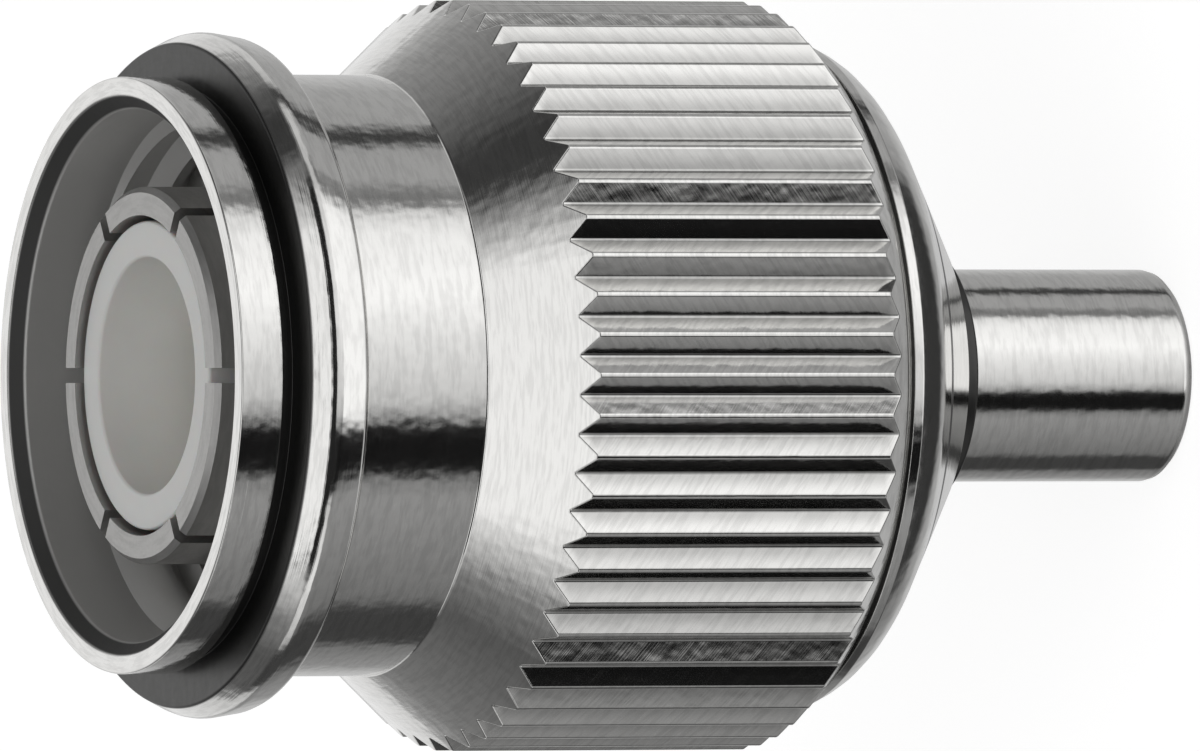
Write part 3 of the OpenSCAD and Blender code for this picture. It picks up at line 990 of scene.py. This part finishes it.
def braid_grooves(core, low_z, high_z):
    """Points of the shallow grooves around the crimp stem, which grip the braid."""
    points = []
    pitch = core.braid_pitch
    for number in range(int((high_z - low_z) / pitch) - 1):
        start = low_z + (number + FIRST_GROOVE) * pitch
        points.append((core.stem_r, start, 0.0))
        points.append((core.stem_r - core.braid_depth, start + pitch / 4, 0.0))
        points.append((core.stem_r, start + pitch / 2, 0.0))
    return points


def plug_body(core):
    """The turned body: flange, barrel, neck and crimp stem."""
    fine = core.edge_round
    bore_r = core.sleeve_r - core.sleeve_wall
    shoulder_z = core.ferrule_top_z - core.shoulder_len
    flange_z = core.seal_seat_z - core.flange_len
    groove_top_z = core.groove_z + core.groove_len
    barrel_z = core.chamber_floor_z - core.floor_thick
    return turn(
        (core.stem_bore_r, core.stem_end_z, fine),
        (core.stem_r, core.stem_end_z, fine * 3),
        *braid_grooves(core, core.stem_end_z, shoulder_z),
        (core.stem_r, shoulder_z, 0.0),
        (core.shoulder_r, shoulder_z, fine),
        (core.shoulder_r, core.ferrule_top_z, 0.0),
        (core.body_neck_r, core.ferrule_top_z, fine * 2),
        (core.body_neck_r, barrel_z, fine),
        (core.barrel_r, barrel_z, fine),
        (core.barrel_r, flange_z, fine),
        (core.flange_r, flange_z, fine),
        (core.flange_r, core.groove_z, fine),
        (core.groove_r, core.groove_z, fine),
        (core.groove_r, groove_top_z, fine),
        (core.flange_r, groove_top_z, fine),
        (core.flange_r, core.seal_seat_z, fine),
        (core.seal_bore_r, core.seal_seat_z, fine),
        (core.seal_bore_r, core.sleeve_rear_z, 0.0),
        (bore_r, core.sleeve_rear_z, 0.0),
        (bore_r, core.chamber_floor_z, fine),
        (core.stem_bore_r, core.chamber_floor_z, fine),
    )


def crimp_ferrule(core):
    """The loose tube on the crimp stem, rounded at its free end."""
    fine = core.edge_round
    return turn(
        (core.ferrule_bore_r, core.ferrule_end_z, fine * 2),
        (core.ferrule_r, core.ferrule_end_z, core.ferrule_round),
        (core.ferrule_r, core.ferrule_top_z, fine),
        (core.ferrule_bore_r, core.ferrule_top_z, fine),
    )


class PLUG_OT_knurled_nut(bpy.types.Operator):
    """Turn the coupling nut with its knurl and its thread"""

    bl_idname = "plug.knurled_nut"
    bl_label = "Knurled nut"

    def execute(self, context):
        nut = context.scene.plug_nut
        level = nut_levels(nut)
        bm = knurled_shell(nut, level)
        join_thread(bm, thread_coil(nut, level), level)
        place_piece(bm, "knurled_nut", "nut", "coupling_nut", "nickel_plate")
        return {"FINISHED"}


class PLUG_OT_contacts(bpy.types.Operator):
    """Turn the slotted sleeve and the pin"""

    bl_idname = "plug.contacts"
    bl_label = "Sleeve and pin"

    def execute(self, context):
        core = context.scene.plug_core
        place_piece(slotted_sleeve(core), "slotted_sleeve", "core", "outer_contact", "contact_plate")
        place_piece(contact_pin(core), "contact_pin", "core", "center_contact", "gold_plate")
        return {"FINISHED"}


class PLUG_OT_insulator(bpy.types.Operator):
    """Turn the white insulator and the soft seal"""

    bl_idname = "plug.insulator"
    bl_label = "Insulator and seal"

    def execute(self, context):
        core = context.scene.plug_core
        place_piece(socket_insulator(core), "socket_insulator", "core", "front_insulator", "white_ptfe")
        place_piece(seal_ring(core), "seal_ring", "core", "gasket", "seal_rubber")
        return {"FINISHED"}


class PLUG_OT_body(bpy.types.Operator):
    """Turn the body and the crimp ferrule"""

    bl_idname = "plug.body"
    bl_label = "Body and ferrule"

    def execute(self, context):
        core = context.scene.plug_core
        place_piece(plug_body(core), "plug_body", "core", "body", "nickel_plate")
        place_piece(crimp_ferrule(core), "crimp_tube", "core", "crimp_ferrule", "nickel_plate")
        return {"FINISHED"}


class PLUG_OT_hidden_pieces(bpy.types.Operator):
    """Give the pieces that keep their CAD shape their finish"""

    bl_idname = "plug.hidden_pieces"
    bl_label = "Ring and rear insulator"

    def execute(self, context):
        for node, slot in (("retaining_ring", "spring_bronze"), ("rear_insulator", "white_ptfe")):
            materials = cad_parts[node].data.materials
            materials.clear()
            materials.append(finish(slot))
        return {"FINISHED"}


def lay_floor(stage):
    """A pale floor that shows nearly white and still takes the plug's shadow."""
    bm = bmesh.new()
    bmesh.ops.create_circle(bm, cap_ends=True, segments=FLOOR_STEPS, radius=stage.floor_r)
    bmesh.ops.translate(bm, verts=bm.verts[:], vec=(0.0, 0.0, CAD_BOX[0][2] - stage.floor_drop))
    floor = new_object(bm, "floor")
    material, sheet = new_material("pale_floor")
    seen = sheet.add("ShaderNodeLightPath", {}, {}, "Is Camera Ray")
    tone = stage.floor_paint - seen * stage.floor_fade
    paint = sheet.add("ShaderNodeBsdfDiffuse", {}, {"Color": tone, "Roughness": 0.5})
    glow = seen * stage.floor_glow
    white = sheet.add("ShaderNodeEmission", {}, {"Color": grey(1.0), "Strength": glow})
    surface = sheet.add("ShaderNodeAddShader", {}, {0: paint, 1: white})
    sheet.add("ShaderNodeOutputMaterial", {}, {"Surface": surface})
    floor.data.materials.append(material)
    # The metal shows the studio's soft boxes below as well, not the floor
    floor.visible_glossy = False


def hang_studio():
    """Soft boxes and dark flags around the plug, and white where the camera looks past it."""
    world = bpy.data.worlds.new("soft_studio")
    world.use_nodes = True
    bpy.context.scene.world = world
    sheet = NodeSheet(world.node_tree)
    # A direction of length 1, so that z goes from -1 right below to 1 right above
    x, y, z = sheet.split(sheet.add("ShaderNodeTexCoord", {}, {}, "Generated"))
    bearing = sheet.add("ShaderNodeMath", {"operation": "ARCTAN2"}, {0: x, 1: -y})
    # 0.5 faces the camera's side, more is towards +X
    around = bearing * (1 / FULL_TURN) + 0.5

    def ring(stops):
        places = [((degrees + 180) / 360, tone) for degrees, tone in stops]
        return sheet.add("ShaderNodeValToRGB", {"stops": places}, {"Fac": around}, "Color")

    sides = sheet.mixed(sheet.rise(z, low=-0.12, high=0.2), ring(LOWER_RING), ring(UPPER_RING))
    horizon = sheet.band(z, low=-0.31, high=-0.05, soft=0.03)
    sides = sheet.mixed(horizon, sides, ring(HORIZON_RING))
    front = sheet.rise(-y, low=0.22, high=0.45)
    sill = front * sheet.band(z, low=-0.75, high=-0.58, soft=0.06) * sheet.rise(x, low=-0.28, high=-0.18)
    sides = sheet.mixed(sill, sides, grey(SILL_TONE))
    flag = front * sheet.band(z, low=-0.06, high=0.29, soft=0.06)
    sides = sheet.mixed(flag, sides, grey(FLAG_TONE))
    overhead = front * sheet.band(z, low=0.55, high=0.64, soft=0.04) + sheet.rise(z, low=0.89, high=0.93)
    sides = sheet.mixed(overhead, sides, grey(OVERHEAD_TONE))
    # The dark arc keeps the nut's taper dark
    far_side = sheet.rise(y, low=0.2, high=0.45)
    near_side = sheet.rise(x * x * ARC_BEND - y, low=0.28, high=0.33)
    under = far_side * FAR_SIDE_TONE + near_side * NEAR_SIDE_TONE + ARC_TONE
    studio = sheet.mixed(sheet.rise(-z, low=0.76, high=0.88), sides, under)
    seen = sheet.add("ShaderNodeLightPath", {}, {}, "Is Camera Ray")
    shown = sheet.mixed(seen, studio, grey(1.0))
    light = sheet.add("ShaderNodeBackground", {}, {"Color": shown, "Strength": 1.0})
    sheet.add("ShaderNodeOutputWorld", {}, {"Surface": light})


def set_camera(stage, mouth_z):
    """A long lens at the photograph's angle, turned so that the plug lies across the picture."""
    tilt = stage.camera_tilt
    right = Vector((0.0, -math.sin(tilt), -math.cos(tilt)))
    up = Vector((1.0, 0.0, 0.0))
    back = Vector((0.0, -math.cos(tilt), math.sin(tilt)))
    distance = stage.frame_width * stage.lens / stage.sensor
    spot = Vector((0.0, 0.0, mouth_z - stage.aim_depth)) + back * distance
    data = bpy.data.cameras.new("camera")
    data.lens = stage.lens
    data.sensor_width = stage.sensor
    data.sensor_fit = "HORIZONTAL"
    camera = bpy.data.objects.new("camera", data)
    bpy.context.collection.objects.link(camera)
    turned = Matrix((right, up, back)).transposed().to_4x4()
    camera.matrix_world = Matrix.Translation(spot) @ turned
    bpy.context.scene.camera = camera


class PLUG_OT_stage(bpy.types.Operator):
    """Lay the floor, hang the studio's lights and set the camera"""

    bl_idname = "plug.stage"
    bl_label = "Stage"

    def execute(self, context):
        stage = context.scene.plug_stage
        lay_floor(stage)
        hang_studio()
        set_camera(stage, context.scene.plug_nut.mouth_z)
        context.scene.view_settings.view_transform = "Standard"
        return {"FINISHED"}


OPERATORS = (
    PLUG_OT_knurled_nut,
    PLUG_OT_contacts,
    PLUG_OT_insulator,
    PLUG_OT_body,
    PLUG_OT_hidden_pieces,
    PLUG_OT_stage,
)

GROUPS = {
    "plug_nut": NutSizes,
    "plug_core": CoreSizes,
    "plug_finishes": Finishes,
    "plug_stage": StageSettings,
}


class VIEW3D_PT_plug(bpy.types.Panel):
    """Lists the plug's pieces and its sizes"""

    bl_label = "Coaxial plug"
    bl_space_type = "VIEW_3D"
    bl_region_type = "UI"
    bl_category = "Plug"

    def draw(self, context):
        layout = self.layout
        for operator in OPERATORS:
            layout.operator(operator.bl_idname)
        for group in GROUPS:
            values = getattr(context.scene, group)
            column = layout.column(align=True)
            for name in values.__annotations__:
                column.prop(values, name)


def register():
    for group, kind in GROUPS.items():
        bpy.utils.register_class(kind)
        setattr(bpy.types.Scene, group, bpy.props.PointerProperty(type=kind))
    for operator in OPERATORS:
        bpy.utils.register_class(operator)
    bpy.utils.register_class(VIEW3D_PT_plug)


def unregister():
    bpy.utils.unregister_class(VIEW3D_PT_plug)
    for operator in reversed(OPERATORS):
        bpy.utils.unregister_class(operator)
    for group, kind in GROUPS.items():
        delattr(bpy.types.Scene, group)
        bpy.utils.unregister_class(kind)


def main():
    register()
    bpy.ops.plug.knurled_nut()
    bpy.ops.plug.contacts()
    bpy.ops.plug.insulator()
    bpy.ops.plug.body()
    bpy.ops.plug.hidden_pieces()
    bpy.ops.plug.stage()


if __name__ == "__main__":
    main()
